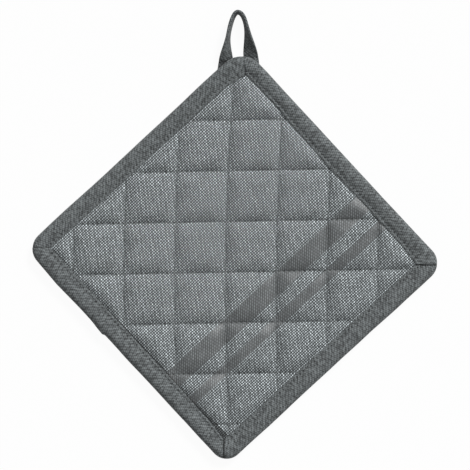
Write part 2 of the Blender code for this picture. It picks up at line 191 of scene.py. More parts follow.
# Floor and light
FLOOR_SIDE = 8.0
FLOOR_DROP = 0.05 * MM  # below the table's height
FLOOR_GREY = 0.75
FLOOR_WHITE = 0.95  # share of the floor that is plain white to the camera
SUN_AZIMUTH = radians(58)
SUN_ELEVATION = radians(40)
SUN_SHARE = 0.68  # of the light that falls on a level surface
SUN_SOFTNESS = radians(16)
SKY_SLOPE = 1.5  # the sky is brightest overhead and dark at the horizon


def tip(corner):
    """Distance from the pad's centre to the tip of a rounded corner."""
    return SHARP_CORNER - CORNER_RADII[corner] * (sqrt(2) - 1)


FRAME_SHIFT = -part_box("binding")[0][1] - tip(BOTTOM)
LOOP_TOP = tip(TOP) + LOOP_RISE
LOOP_FOOT = tip(TOP) - LOOP_FOOT_DROP


# Materials

class Value:
    """A number that a material's nodes work out, written with the usual signs."""

    def __init__(self, graph, socket):
        self.graph = graph
        self.socket = socket

    def __add__(self, other):
        return self.graph.math("ADD", self, other)

    def __sub__(self, other):
        return self.graph.math("SUBTRACT", self, other)

    def __rsub__(self, other):
        return self.graph.math("SUBTRACT", other, self)

    def __mul__(self, other):
        return self.graph.math("MULTIPLY", self, other)

    def __truediv__(self, other):
        return self.graph.math("DIVIDE", self, other)

    def floor(self):
        return self.graph.math("FLOOR", self)

    def nearest(self):
        return (self + 0.5).floor()

    def off_whole(self):
        """The distance from the nearest whole number, from -0.5 to 0.5."""
        return self.graph.math("FRACT", self + 0.5) - 0.5

    def wave(self):
        """1 at each whole number and 0 half way between."""
        return self.graph.math("COSINE", self * (2 * pi)) * 0.5 + 0.5

    def step(self, low, high):
        """A smooth step from 0 at low to 1 at high; low may be the higher number."""
        made = self.graph.node("MapRange", self, low, high, interpolation_type="SMOOTHSTEP")
        return Value(self.graph, made.outputs[0])


class Graph:
    """A material, with its nodes made by calls."""

    def __init__(self, name, roughness, sheen=0.0):
        self.material = bpy.data.materials.new(name)
        self.material.use_nodes = True
        self.tree = self.material.node_tree
        self.shader = self.tree.nodes["Principled BSDF"]
        self.shader.inputs["Roughness"].default_value = roughness
        self.shader.inputs["Sheen Weight"].default_value = sheen

    def feed(self, socket, value):
        if isinstance(value, Value):
            value = value.socket
        if isinstance(value, bpy.types.NodeSocket):
            self.tree.links.new(value, socket)
        else:
            socket.default_value = value

    def node(self, kind, *inputs, **settings):
        made = self.tree.nodes.new("ShaderNode" + kind)
        for name, value in settings.items():
            setattr(made, name, value)
        for socket, value in zip(made.inputs, inputs):
            self.feed(socket, value)
        return made

    def math(self, operation, *inputs):
        return Value(self, self.node("Math", *inputs, operation=operation).outputs[0])

    def pad_place(self):
        """X and Y about the pad's centre, in millimetres."""
        place = self.node("TexCoord").outputs["Object"]
        split = self.node("SeparateXYZ", place)
        x = Value(self, split.outputs[0]) * 1000
        y = (Value(self, split.outputs[1]) + FRAME_SHIFT) * 1000
        return x, y

    def tape_place(self):
        """The place along a tape and across it, in millimetres."""
        split = self.node("SeparateXYZ", self.node("UVMap", uv_map=TAPE_MAP).outputs[0])
        return Value(self, split.outputs[0]) * 1000, Value(self, split.outputs[1]) * 1000

    def point(self, x, y, z=0.0):
        return self.node("CombineXYZ", x, y, z).outputs[0]

    def cloud(self, point, scale, detail=2.0):
        """Soft noise, from 0 to 1."""
        made = self.node("TexNoise", point)
        made.inputs["Scale"].default_value = scale
        made.inputs["Detail"].default_value = detail
        return Value(self, made.outputs[0])

    def chance(self, point):
        """A number from 0 to 1 that differs at each point."""
        return Value(self, self.node("TexWhiteNoise", point).outputs[0])

    def paint(self, tone, colour):
        """Give the shader the colour at a strength, where 1 leaves it as it is."""
        made = self.node("VectorMath", colour, operation="SCALE")
        self.feed(made.inputs["Scale"], tone)
        self.feed(self.shader.inputs["Base Color"], made.outputs[0])

    def emboss(self, height, depth):
        """Bump of a depth in metres between heights 0 and 1."""
        made = self.node("Bump")
        made.inputs["Distance"].default_value = depth
        self.feed(made.inputs["Height"], height)
        self.feed(self.shader.inputs["Normal"], made.outputs[0])


TAPE_MAP = "tape"
FOLD_SHADE_MAP = "fold"  # how deep in a fold or how near the binding's edge a point lies, from 0 to 1, for the painted shade there
CLOTH_COLOUR = (0.910, 1.0, 1.03)
TAPE_COLOUR = (0.895, 0.98, 1.0)

# The cloth's weave, in millimetres and in shares of a cell
FLOAT_PITCH = 1.56
ROW_PITCH = 1.49
FLOAT_SLANT = 0.3
FLOAT_WIDTH = 0.29
FLOAT_LENGTH = 0.40
FLOAT_EDGE = (1.25, 0.45)
ALONG_LEAN = 0.014  # how far the threads are off the square
BESIDE_LEAN = 0.005
LIGHT_THREAD = 0.625
DARK_THREAD = 0.095
THREAD_GAP = 0.02
BUNCH_DRIFT = 2.2
# How the light floats bunch up: waves to a millimetre along and beside the threads, and strength
BUNCHES = ((0.276, 0.195, 0.22), (0.484, -0.056, 0.18), (-0.202, 0.257, 0.08))
STRIPES = ((28.5, 42), (52, 59))  # from the middle towards the lower right side, in millimetres
STRIPE_BLUR = 0.35
STRIPE_ROUGHNESS = 0.55
STRIPE_SHINE = 0.75
STRIPE_DARK = 0.022
STRIPE_DASH = 0.17
RIB_PITCH = 1.5  # of the stripes' twill
DASH_PITCH = 2.2
DASH_SHIFT = 0.37  # from one rib to the next
CLOTH_ROUGHNESS = 0.92
CLOTH_SHINE = 0.5
SEAM_PULL_AND_SHADE = 0.33  # pull and painted shade of a seam's whole line, where 1 is that of its holes
# How much painted shade the stitch holes and seam lines give the cloth's colour
HOLE_SHADE_STRENGTH = 0.85
HOLE_STRETCH = 0.6
DOWN_HOLES = 0.7  # how strong the holes are
ACROSS_HOLES = 1.2
BUMP_DEPTH = 0.22 * MM

# Painted shade in the crack beside the binding's lower left side, in millimetres from the middle
CRACK_PLACE = -91.7
CRACK_SHIFT = 1.8
CRACK_BEND = (60, 92)
CRACK_EDGES = (1.0, 0.4)
CRACK_RISE = (-32, -14)  # half as dark before this
CRACK_SHADE_STRENGTH = 0.75

# The binding's and the loop's twill
TAPE_RIB_PITCH = 1.95
TAPE_TWIST_PITCH = 1.45
# Painted shade at the tape's stitch holes
TAPE_HOLE_SHADE_STRENGTH = 0.7
# How dark the painted shade in the mitres' creases and on the loop's feet gets
FOLD_SHADE_STRENGTH = 0.85
BINDING_TONE = 1.01
LOOP_TONE = 0.83


def blend(share, first, second):
    """From first to second as share goes from 0 to 1."""
    return share * (second - first) + first


def weave(graph, along, beside):
    """Tone and height of light floats, one to a cell, over pairs of dark threads."""
    column = along / FLOAT_PITCH
    number = column.nearest()
    off_column = column - number
    row = beside / ROW_PITCH + off_column * FLOAT_SLANT
    row_number = row.nearest()
    across = (row - row_number) / FLOAT_WIDTH
    length = off_column / FLOAT_LENGTH
    shown = graph.math("SQRT", across * across + length * length).step(*FLOAT_EDGE)
    luck = graph.chance(graph.point(number, row_number))
    thread_luck = graph.chance(graph.point(row_number, 0.0, 7.0))
    under_luck = graph.chance(graph.point((column * 2).floor(), 0.0, 9.0))
    between = (column * 2).wave()
    light = (luck * 0.5 + 0.75) * (thread_luck * 0.2 + 0.9) * LIGHT_THREAD
    dark = (1 - between) * (under_luck * 0.3 + 0.85) * (DARK_THREAD - THREAD_GAP) + THREAD_GAP
    height = shown * 0.6 + (1 - between) * 0.4
    return blend(shown, dark, light), height


def to_hole(graph, off_line, along, stitch):
    """How far a place is from the nearest stitch hole of a seam."""
    off_hole = (along / stitch).off_whole() * stitch
    return graph.math("SQRT", off_line * off_line + off_hole * off_hole * HOLE_STRETCH)


def stitch_holes(graph, x, y):
    """How far the quilting pulls the cloth in: most at its holes and a little along its lines. This
    sets the bump and the painted shade of the seams.
    """
    pitch = QUILT_PITCH / MM
    stitch = QUILT_STITCH / MM
    down_line = y * tan(DOWN_TURN) + y * y * (DOWN_BOW * MM) + DOWN_START / MM
    across_line = x * tan(ACROSS_TURN) + ACROSS_START / MM
    holes = []
    ways = ((x - down_line, y, DOWN_HOLES), (y - across_line, x, ACROSS_HOLES))
    for beside, along, strength in ways:
        off_line = (beside / pitch).off_whole() * pitch
        number = graph.point((along / stitch).nearest(), (beside / pitch).nearest(), 4.0)
        line = graph.math("ABSOLUTE", off_line).step(0.9, 0.1) * SEAM_PULL_AND_SHADE
        hole = to_hole(graph, off_line, along, stitch).step(0.9, 0.3)
        hole = hole * (graph.chance(number) * 0.45 + 0.4) * strength
        holes.append(graph.math("MAXIMUM", hole, line))
    return graph.math("MAXIMUM", *holes)


def stripe_twill(graph, x, y):
    """Tone and ribs of the plain stripes."""
    place = x / RIB_PITCH + graph.cloud(graph.point(x, y * 0.4), 0.35) * 0.5
    rib = place.wave()
    number = place.nearest()
    dash_place = y / DASH_PITCH + number * DASH_SHIFT
    luck = graph.chance(graph.point(number, dash_place.nearest()))
    dash = rib * (dash_place.wave() * 0.7 + 0.3)
    return (dash * STRIPE_DASH + STRIPE_DARK) * (luck * 0.5 + 0.75), rib


def stripe_share(crosswise):
    """1 in a stripe and 0 beside it."""
    share = 0
    for first, last in STRIPES:
        inside = crosswise.step(first - STRIPE_BLUR, first + STRIPE_BLUR)
        share = inside * crosswise.step(last + STRIPE_BLUR, last - STRIPE_BLUR) + share
    return share


# Painted shade in the crack between the binding's lower left side and the cloth, which slopes away
# from the light there
def binding_crack_shade(straight, crosswise):
    place = crosswise.step(*CRACK_BEND) * CRACK_SHIFT + CRACK_PLACE
    crack_shade = straight.step(*[place + edge for edge in CRACK_EDGES])
    return crack_shade * (crosswise.step(*CRACK_RISE) * 0.5 + 0.5)


def cloth_material():
    """A weave of two greys with two plain twill stripes beside one edge."""
    graph = Graph("birds_eye_cloth", roughness=CLOTH_ROUGHNESS, sheen=0.08)
    x, y = graph.pad_place()
    straight = (x + y) * sqrt(0.5)
    crosswise = (x - y) * sqrt(0.5)
    drift = (graph.cloud(graph.point(x, y), 0.12, detail=4.0) - 0.5) * 1.3
    other_drift = (graph.cloud(graph.point(x, y, 50.0), 0.12, detail=4.0) - 0.5) * 1.3
    along = straight - crosswise * ALONG_LEAN + drift
    beside = crosswise - straight * BESIDE_LEAN + other_drift
    tone, height = weave(graph, along, beside)
    bunched = 1
    for waves_along, waves_beside, strength in BUNCHES:
        place = ((straight + drift * BUNCH_DRIFT) * waves_along
                 + (crosswise + other_drift * BUNCH_DRIFT) * waves_beside)
        bunched = (place.wave() - 0.5) * (2 * strength) + bunched
    stripe = stripe_share(crosswise)
    stripe_tone, rib = stripe_twill(graph, x, y)
    tone = blend(stripe, tone * bunched, stripe_tone)
    patches = graph.cloud(graph.point(x, y), 0.05, detail=3.0) * 0.16 + 0.92
    # Painted shade: darker at the stitch holes and along the seam lines, where the cloth is pulled
    # in
    holes = stitch_holes(graph, x, y)
    # Painted shade in the crack beside the binding's lower left side
    crack_shade = binding_crack_shade(straight, crosswise)
    shade = (1 - holes * HOLE_SHADE_STRENGTH) * (1 - crack_shade * CRACK_SHADE_STRENGTH)
    graph.paint(tone * patches * shade, CLOTH_COLOUR)
    inputs = graph.shader.inputs
    graph.feed(inputs["Roughness"], blend(stripe, CLOTH_ROUGHNESS, STRIPE_ROUGHNESS))
    graph.feed(inputs["Specular IOR Level"], blend(stripe, CLOTH_SHINE, STRIPE_SHINE))
    fine_height = blend(stripe, height, height * 0.4 + rib * 0.6)
    graph.emboss(fine_height * 0.4 - holes * 1.5, BUMP_DEPTH)
    return graph.material


def tape_holes(graph, along, across, seams):
    """Where the stitches of the seams pass through the tape, from 0 to 1; this sets the bump and
    the painted shade at the holes.
    """
    stitch = BINDING_STITCH / MM
    luck = graph.chance(graph.point((along / stitch).nearest(), 0.0, 2.0))
    holes = 0
    for seam in seams:
        away = to_hole(graph, across - seam, along, stitch)
        holes = away.step(0.8, 0.3) * (luck * 0.7 + 0.3) + holes
    return holes


def tape_material(name, strength, seams=()):
    """A twill tape cut on the bias, whose ribs cross it at 45 degrees.

    strength is that of its colour. The seams are given by their places across it, in millimetres.
    """
    graph = Graph(name, roughness=0.9, sheen=0.08)
    along, across = graph.tape_place()
    wander = graph.cloud(graph.point(along, across), 0.25, detail=3.0) * 0.9
    rib_place = (along - across) * sqrt(0.5) / TAPE_RIB_PITCH + wander
    rib = rib_place.wave()
    twist_place = (along + across) * sqrt(0.5) / TAPE_TWIST_PITCH + rib_place * 0.5
    twist = twist_place.wave()
    luck = graph.chance(graph.point((rib_place * 2).floor(), twist_place.floor()))
    tone = (rib * 0.055 + 0.085) * (twist * 0.6 + 0.7) * (luck * 1.1 + 0.45)
    # Painted shade in the mitres' creases and on the loop's feet under the binding's edge
    fold = Value(graph, graph.node("Attribute", attribute_name=FOLD_SHADE_MAP).outputs["Fac"])
    patches = graph.cloud(graph.point(along, across), 0.06, detail=3.0) * 0.2 + 0.9
    # Painted shade at the stitch holes
    holes = tape_holes(graph, along, across, seams)
    shade = (1 - fold * FOLD_SHADE_STRENGTH) * (1 - holes * TAPE_HOLE_SHADE_STRENGTH)
    graph.paint(tone * patches * strength * shade, TAPE_COLOUR)
    graph.emboss(rib * 0.5 + twist * 0.3 - holes * 1.5, BUMP_DEPTH)
    return graph.material


def thread_material():
    """Two-ply sewing thread."""
    graph = Graph("sewing_thread", roughness=0.7, sheen=0.1)
    x, y = graph.pad_place()
    ply = ((x + y * 0.8) / 0.45).wave()
    tone = (ply * 0.06 + 0.15) * (graph.cloud(graph.point(x, y), 0.4) * 0.4 + 0.8)
    graph.paint(tone, TAPE_COLOUR)
    graph.emboss(ply, 0.08 * MM)
    return graph.material


def wadding_material():
    """Loose white fibres."""
    graph = Graph("wadding_fibres", roughness=0.95, sheen=0.2)
    x, y = graph.pad_place()
    fibres = graph.cloud(graph.point(x, y * 0.35), 1.6, detail=5.0)
    lumps = graph.cloud(graph.point(x, y), 0.12)
    graph.paint(fibres * 0.25 + lumps * 0.1 + 0.55, (1.0, 0.985, 0.94))
    graph.emboss(fibres, 0.4 * MM)
    return graph.material


# Making pieces

def scatter(first, second, seed):
    """A number from 0 to 1 for each pair of whole numbers."""
    mixed = np.sin(first * 127.1 + second * 311.7 + seed * 74.7) * 43758.5453
    return mixed - np.floor(mixed)


def field(x, y, width, height, seed):
    """Soft noise from about -1 to 1, with lumps of that width and height."""
    return np.array([noise.noise(Vector((a / width, b / height, seed))) for a, b in zip(x, y)])


def mesh_points(mesh):
    points = np.empty(len(mesh.vertices) * 3)
    mesh.vertices.foreach_get("co", points)
    return points.reshape(-1, 3)


def add_object(name, data):
    made = bpy.data.objects.new(name, data)
    bpy.context.scene.collection.objects.link(made)
    return made


def add_piece(name, mesh, material, node):
    """Add a mesh that was made about the pad's centre, in place of a node of the solids."""
    points = mesh_points(mesh)
    points[:, 1] -= FRAME_SHIFT
    mesh.vertices.foreach_set("co", points.ravel())
    mesh.update()
    mesh.materials.append(material)
    piece = add_object(name, mesh)
    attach(piece, "root")
    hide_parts(node)
    return piece


def skin_faces(count, size, hoop):
    """The faces over a run of rings of points, each turning the same way round."""
    faces = []
    for row in range(count if hoop else count - 1):
        following = (row + 1) % count
        for place in range(size):
            beside = (place + 1) % size
            faces.append((row * size + place, following * size + place,
                          following * size + beside, row * size + beside))
    if not hoop:
        faces.append(tuple(range(size)))
        faces.append(tuple((count - 1) * size + place for place in reversed(range(size))))
    return faces


def skin(name, rings, hoop):
    mesh = bpy.data.meshes.new(name)
    verts = [tuple(point) for ring in rings for point in ring]
    mesh.from_pydata(verts, [], skin_faces(len(rings), len(rings[0]), hoop))
    return mesh


# Quilting

def seam_across(index, x):
    return ACROSS_START + index * QUILT_PITCH + tan(ACROSS_TURN) * x


def seam_down(index, y):
    return DOWN_START + index * QUILT_PITCH + tan(DOWN_TURN) * y + DOWN_BOW * y * y


def crossing(down, across):
    """The point where a line down meets a line across; either may be a fraction."""
    x = down * 0
    for _ in range(CROSSING_ROUNDS):
        y = seam_across(across, x)
        x = seam_down(down, y)
    return x, y


def quilt_place(x, y):
    """The inverse of crossing: how many lines down and across lie before a point."""
    return (x - seam_down(0, y)) / QUILT_PITCH, (y - seam_across(0, x)) / QUILT_PITCH


def tape_play(table, along):
    """What a table of play gives at places along a side."""
    return np.interp(along / MM, *zip(*table)) * MM


def tape_width(side, along):
    return BINDING_WIDTH + tape_play(WIDTH_PLAY[side], along)


def inside_tape(x, y):
    """How far a point of the face lies inside the binding's inner edge."""
    ways = ((x + y, y - x), (y - x, -(x + y)), (-(x + y), x - y), (x - y, x + y))
    rooms = [SIDE / 2 - outward / sqrt(2) - tape_width(side, SIDE / 2 + along / sqrt(2))
             for side, (outward, along) in enumerate(ways)]
    return np.minimum.reduce(rooms)


def rise(share):
    """A rounded slope from 0 to 1, and flat after that."""
    return 1 - (1 - np.clip(share, 0, 1)) ** 2


def relief(x, y, seed, play):
    """Height of the quilted cloth over its seams, with a share of the puckers and swells."""
    down, across = quilt_place(x, y)
    height = PUFF_HEIGHT * rise((inside_tape(x, y) + BORDER_TUCK) / BORDER_SLOPE)
    puckers = np.zeros_like(x)
    for place, along in ((down, y), (across, x)):
        off_seam = np.minimum(place % 1, 1 - place % 1)
        height *= rise(off_seam / PUFF_SIDE)
        away = off_seam * QUILT_PITCH
        folds = field(along, away, QUILT_STITCH, 3 * QUILT_STITCH, seed + 5.5) + 0.4
        puckers += np.clip(folds, 0, 1) * rise(away / (2 * MM)) * np.exp(-away / PUCKER_REACH)
    share = height / PUFF_HEIGHT
    luck = scatter(np.floor(down), np.floor(across), seed)
    height *= 1 + PUFF_PLAY * (luck - 1)
    swell = field(x, y, SWELL_SIZE, SWELL_SIZE, seed) * share * SWELL
    return height + (swell + puckers * PUCKER * np.clip(share * 4, 0, 1)) * play


def quilt_grid(steps):
    """The pad's middle as a grid whose lines follow the quilting and gather beside it."""
    reach = int(SHARP_CORNER / QUILT_PITCH) + 2
    places = np.arange(-reach * steps, reach * steps + 1) / steps
    places -= GATHERING * np.sin(2 * pi * places) / (2 * pi)
    x, y = crossing(*np.meshgrid(places, places, indexing="ij"))
    inside = SIDE / 2 - np.maximum(abs(x + y), abs(x - y)) / sqrt(2) > PAD_INSET
    kept = inside[:-1, :-1] | inside[1:, :-1] | inside[1:, 1:] | inside[:-1, 1:]
    number = np.arange(x.size).reshape(x.shape)
    rings = np.stack((number[:-1, :-1], number[1:, :-1], number[1:, 1:], number[:-1, 1:]), -1)
    used, faces = np.unique(rings[kept].ravel(), return_inverse=True)
    points = np.stack((x.ravel(), y.ravel(), np.zeros(x.size)), -1)[used]
    mesh = bpy.data.meshes.new("quilt")
    mesh.from_pydata(points.tolist(), [], faces.reshape(-1, 4).tolist())
    return mesh


def trim_to_outline(mesh):
    """Cut a mesh to the pad's edge inside the binding, with its corners cut straight."""
    sheet = bmesh.new()
    sheet.from_mesh(mesh)
    for corner in range(4):
        radius = CORNER_RADII[corner]
        chamfer = SHARP_CORNER - radius * sqrt(2) + (radius - PAD_INSET) / sqrt(2)
        for turn, distance in ((0.5, SIDE / 2 - PAD_INSET), (0, chamfer)):
            way = corner_axis(corner + turn).to_3d()
            everything = sheet.verts[:] + sheet.edges[:] + sheet.faces[:]
            bmesh.ops.bisect_plane(sheet, geom=everything, dist=0.01 * MM, plane_co=way * distance,
                                   plane_no=way, clear_outer=True)
    sheet.to_mesh(mesh)
    sheet.free()


def make_cloth(name, node, steps, side, seed, material):
    """One of the two cloths: side is 1 for the face and -1 for the back."""
    mesh = quilt_grid(steps)
    trim_to_outline(mesh)
    points = mesh_points(mesh)
    height = SEAM_HALF + relief(points[:, 0], points[:, 1], seed, 1 if side > 0 else BACK_SWELL)
    points[:, 2] = MIDDLE + side * height
    mesh.vertices.foreach_set("co", points.ravel())
    if side < 0:
        mesh.flip_normals()
    mesh.shade_smooth()
    piece = add_piece(name, mesh, material, node)
    cloth = piece.modifiers.new("cloth", "SOLIDIFY")
    cloth.thickness = CLOTH
    cloth.offset = -1


# Stitches

def stitches(name, node, runs, side, material):
    """The stitches that show of a seam, as short bowed rods between the two ends of each run."""
    verts = []
    faces = []
    rod = [face[:1] + face[:0:-1] for face in skin_faces(STITCH_RINGS, STITCH_SIDES, hoop=False)]
    for first, last in runs:
        way = (last - first).normalized()
        beside = Vector((-way.y, way.x, 0)).normalized()
        up = Vector((0, 0, side))
        faces += [tuple(len(verts) + corner for corner in face) for face in rod]
        for ring in range(STITCH_RINGS):
            share = ring / (STITCH_RINGS - 1)
            bow = 4 * share * (1 - share)
            centre = first.lerp(last, share) + up * (STITCH_SINK * (sqrt(bow) - 1))
            width = THREAD_RADIUS * (0.55 + 0.45 * sqrt(bow))
            for corner in range(STITCH_SIDES):
                turn = 2 * pi * corner / STITCH_SIDES
                round_it = beside * (width * 1.15 * cos(turn)) + up * (width * sin(turn))
                verts.append(centre + round_it)
    mesh = bpy.data.meshes.new(name)
    mesh.from_pydata([tuple(vert) for vert in verts], [], faces)
    if side < 0:
        mesh.flip_normals()
    mesh.shade_smooth()
    add_piece(name, mesh, material, node)


def stitch_ends(hole, stitch):
    """The places of a stitch's two ends along its seam."""
    return [(hole + 0.5 + part * STITCH_SHARE / 2) * stitch for part in (-1, 1)]


def stretch_inside(line):
    """The lowest and highest value for which a point of the line lies inside the binding."""
    step = 0.1 * MM
    count = int(SHARP_CORNER / step)
    inside = [at * step for at in range(-count, count)
              if inside_tape(*line(at * step)) > SEAM_MARGIN]
    return (inside[0], inside[-1]) if inside else (0, 0)


def long_seams(line):
    """The seams of one direction that show inside the binding, as (index, first, last)."""
    reach = int(SHARP_CORNER / QUILT_PITCH) + 1
    seams = []
    for index in range(-reach, reach + 1):
        first, last = stretch_inside(lambda along: line(index, along))
        if last - first > SHORTEST_SEAM:
            seams.append((index, first, last))
    return seams


def make_quilting(face, side, material):
    lines = {"across": lambda index, x: (x, seam_across(index, x)),
             "down": lambda index, y: (seam_down(index, y), y)}
    height = MIDDLE + side * (SEAM_HALF + THREAD_RADIUS * 0.6)
    for way, line in lines.items():
        for number, (index, first, last) in enumerate(long_seams(line), 1):
            holes = range(ceil(first / QUILT_STITCH), int(last // QUILT_STITCH))
            runs = [[Vector((*line(index, end), height)) for end in stitch_ends(hole, QUILT_STITCH)]
                    for hole in holes]
            node = f"{face}_quilting_{way}_{number}"
            stitches(f"{node}_stitches", node, runs, side, material)


# Binding

def corner_axis(corner):
    """The way from the pad's centre to a corner: 0 is the right one, 1 the top one."""
    return Vector((cos(corner * pi / 2), sin(corner * pi / 2)))


def side_way(side):
    """The way along a side; side 0 runs from the right corner to the top one."""
    return (corner_axis(side + 1) - corner_axis(side)).normalized()


def side_line(side):
    """Where a side starts, as if its corner were sharp, and its way."""
    return corner_axis(side) * SHARP_CORNER, side_way(side)


def binding_profile():
    """The section of the folded tape, as (inset, height over the pad's middle) pairs."""
    front = []
    for part in range(PROFILE_STEPS + 1):
        turn = part / PROFILE_STEPS * pi / 2
        front.append((CROWN_INSET * (1 - cos(turn)), (FRONT_GROOVE + FRONT_CROWN) * sin(turn)))
    fall = STITCH_INSET - CROWN_INSET
    for part in range(1, PROFILE_STEPS + 1):
        share = part / PROFILE_STEPS
        front.append((CROWN_INSET + fall * share,
                      FRONT_GROOVE + FRONT_CROWN * (1 - share ** 2.2)))
    lip_room = BINDING_WIDTH - STITCH_INSET
    for share, height in ((0.2, 0.4), (0.42, 0.9), (0.6, 0.6), (0.78, -0.5), (0.92, -2.0)):
        front.append((STITCH_INSET + lip_room * share, FRONT_GROOVE + LIP_RISE * height))
    front.append((BINDING_WIDTH, FRONT_GROOVE - LIP_THICKNESS / 2))
    mouth = (BINDING_WIDTH - 0.1 * MM, CHANNEL_HALF + 0.05 * MM)
    channel = [mouth, (STITCH_INSET, CHANNEL_HALF), (CHANNEL_INSET, CHANNEL_HALF)]
    channel += [(distance, -height) for distance, height in channel[::-1]]
    back = [(BINDING_WIDTH, 0.1 * MM - BACK_GROOVE),
            (BINDING_WIDTH - 1 * MM, -BACK_GROOVE - 0.15 * MM), (STITCH_INSET, -BACK_GROOVE)]
    for share in (0.25, 0.5, 0.75, 1):
        swell = share * share * (3 - 2 * share)
        back.append((STITCH_INSET - fall * share, -BACK_GROOVE - BACK_CROWN * swell))
    for part in range(PROFILE_STEPS - 1, 0, -1):
        turn = part / PROFILE_STEPS * pi / 2
        back.append((CROWN_INSET * (1 - cos(turn)), -(BACK_GROOVE + BACK_CROWN) * sin(turn)))
    return front + channel + back


class Station:
    """A section of the binding, from a point of the outline to a place along its inner edge.

    mitre is the two ends of a mitre's line, whether this side leaves its corner, and its folds.
    """

    def __init__(self, outer, along, side, mitre=None):
        start, way = side_line(side)
        width = float(tape_width(side, along))
        self.outer = outer
        self.inner = start + way * along + Vector((-way.y, way.x)) * width
        self.side = side
        self.along = along
        self.mitre = mitre
        self.outwards = float(tape_play(OUTER_PLAY[side], (outer - start).dot(way)))
        self.lap, self.drop = lap_share(side, self.along)

    def luck(self, size, seed):
        """Soft noise along the binding, with lumps of a size in millimetres."""
        place = (self.outer.x / MM / size, self.outer.y / MM / size, seed)
        return noise.noise(Vector(place))

    def at(self, distance, height):
        """The point at a distance from the outer edge and a height over the pad's middle."""
        in_channel = abs(height) <= CHANNEL_HALF + 0.1 * MM and distance >= CHANNEL_INSET
        outwards = 0.0
        if not in_channel:
            start = max(1 - distance / STITCH_INSET, 0)
            outwards = (self.outwards + LAP_PROUD * self.lap) * start
            outwards += EDGE_WOBBLE * start * self.luck(22, 3)
            end = max((distance - STITCH_INSET) / (BINDING_WIDTH - STITCH_INSET), 0)
            outwards += RAGGED * end * self.luck(2.2, 21)
        if in_channel and distance == CHANNEL_INSET:
            flat = self.outer + (self.inner - self.outer).normalized() * distance
        else:
            flat = self.outer.lerp(self.inner, (distance - outwards) / BINDING_WIDTH)
        if not in_channel and height > 0:
            height += self.front_play(flat, distance) * min(height / FRONT_GROOVE, 1)
        return Vector((flat.x, flat.y, MIDDLE + height))

    def fold(self, flat, distance):
        """How deep in a mitre's crease a point lies, and how far it lies over the other side."""
        if self.mitre is None:
            return 0.0, 0.0
        tip_point, inner_corner, leaving, folds = self.mitre
        way = (inner_corner - tip_point).normalized()
        away = abs((flat - tip_point).cross(way))
        sharp = folds[0] + (folds[1] - folds[0]) * min(distance / BINDING_WIDTH, 1)
        over = max(1 - away / MITRE_FADE, 0) ** 2 if leaving else 0.0
        return max(1 - away / MITRE_HALF, 0) * sharp, over

    def front_play(self, flat, distance):
        """What the mitre, the lap, the stitches and chance add to the front's height."""
        inner = min(distance / STITCH_INSET, 1)
        crease, over = self.fold(flat, distance)
        added = over * MITRE_STEP * min(inner * 1.6, 1)
        added -= crease * MITRE_CREASE * (1 - 0.6 * inner)
        added += self.lap * LAP_STEP - self.drop * LAP_DROP
        ripple = self.luck(2.6, 14 + distance / (9 * MM))
        added += (self.luck(9, 8) * 0.22 + ripple * 0.16 * inner) * MM
        pull = cos(2 * pi * self.along / BINDING_STITCH)
        near = max(1 - abs(distance - STITCH_INSET) / (2.2 * MM), 0)
        return added - 0.14 * MM * near * (1 + pull)


def lap_share(side, along):
    """How much of the lap there is at a place along a side, and of the crease at its end."""
    if side != LEFT:
        return 0.0, 0.0
    swell = min((along - LAP_PLACE + LAP_LENGTH) / LAP_LENGTH,
                (LAP_PLACE + LAP_FALL - along) / LAP_FALL)
    lap = swell * swell * (3 - 2 * swell) if swell > 0 else 0.0
    past = (along - LAP_PLACE) / LAP_CREASE
    drop = 1 - past if 0 < past < 1 else 0.0
    return lap, drop


def corner_stations(corner, leaving):
    """Half of a corner. leaving is true for the side that starts at the corner."""
    side = corner if leaving else (corner - 1) % 4
    way = side_way(side) if leaving else -side_way(side)
    inwards = -side_way(corner - 1) if leaving else side_way(corner)
    sharp = corner_axis(corner) * SHARP_CORNER
    radius = CORNER_RADII[corner]
    zone = corner_zone(corner)
    turn = pi / 4 + (MITRE_TURNS[corner] if leaving else -MITRE_TURNS[corner])
    straight = zone - radius
    beside = float(tape_width(corner - 1, SIDE - BINDING_WIDTH) if leaving
                   else tape_width(corner, BINDING_WIDTH))

    def outer_at(distance):
        """The point of the outline that lies so far from the zone's start."""
        if distance < straight:
            return sharp + way * (zone - distance)
        part = (distance - straight) / radius
        return sharp + way * (radius - radius * sin(part)) + inwards * (radius - radius * cos(part))

    def station(share, mitre):
        back = beside + (zone - beside) * (1 - share)
        apart = way * MITRE_APART * (share == 1)
        return Station(outer_at(share * (straight + radius * turn)) + apart,
                       back if leaving else SIDE - back, side, mitre)

    ends = station(1, None)
    mitre = (ends.outer, ends.inner, leaving, MITRE_FOLDS[corner])
    shares = [1 - (1 - step / CORNER_STEPS) ** 1.6 for step in range(1, CORNER_STEPS + 1)]
    stations = [station(share, mitre) for share in shares]
    return stations[::-1] if leaving else stations


def corner_zone(corner):
    """How far from a corner its own sections reach."""
    return max(CORNER_RADII[corner], BINDING_WIDTH) + CORNER_MARGIN


def straight_stations(side):
    """Sections from one corner's zone to the next."""
    start, way = side_line(side)
    first = corner_zone(side)
    last = SIDE - corner_zone((side + 1) % 4)
    steps = range(int(first / BINDING_STEP) + 1, ceil(last / BINDING_STEP))
    places = [first] + [step * BINDING_STEP for step in steps] + [last]
    if side == LEFT:
        places = sorted(places + [LAP_PLACE + part * MM for part in (-0.02, 0.05, 0.3, 0.9)])
    return [Station(start + way * at, at, side) for at in places]


def binding_stations():
    """Sections round the whole binding, from the right corner on, turning to the left."""
    stations = []
    for corner in range(4):
        stations += corner_stations(corner, leaving=False)
        stations += corner_stations(corner, leaving=True)
        stations += straight_stations(corner)
    return stations


def round_lengths(ring):
    """The length along a ring up to each of its points, and round the whole of it."""
    lengths = [0.0]
    for point, following in zip(ring, ring[1:] + ring[:1]):
        lengths.append(lengths[-1] + (following - point).length)
    return lengths


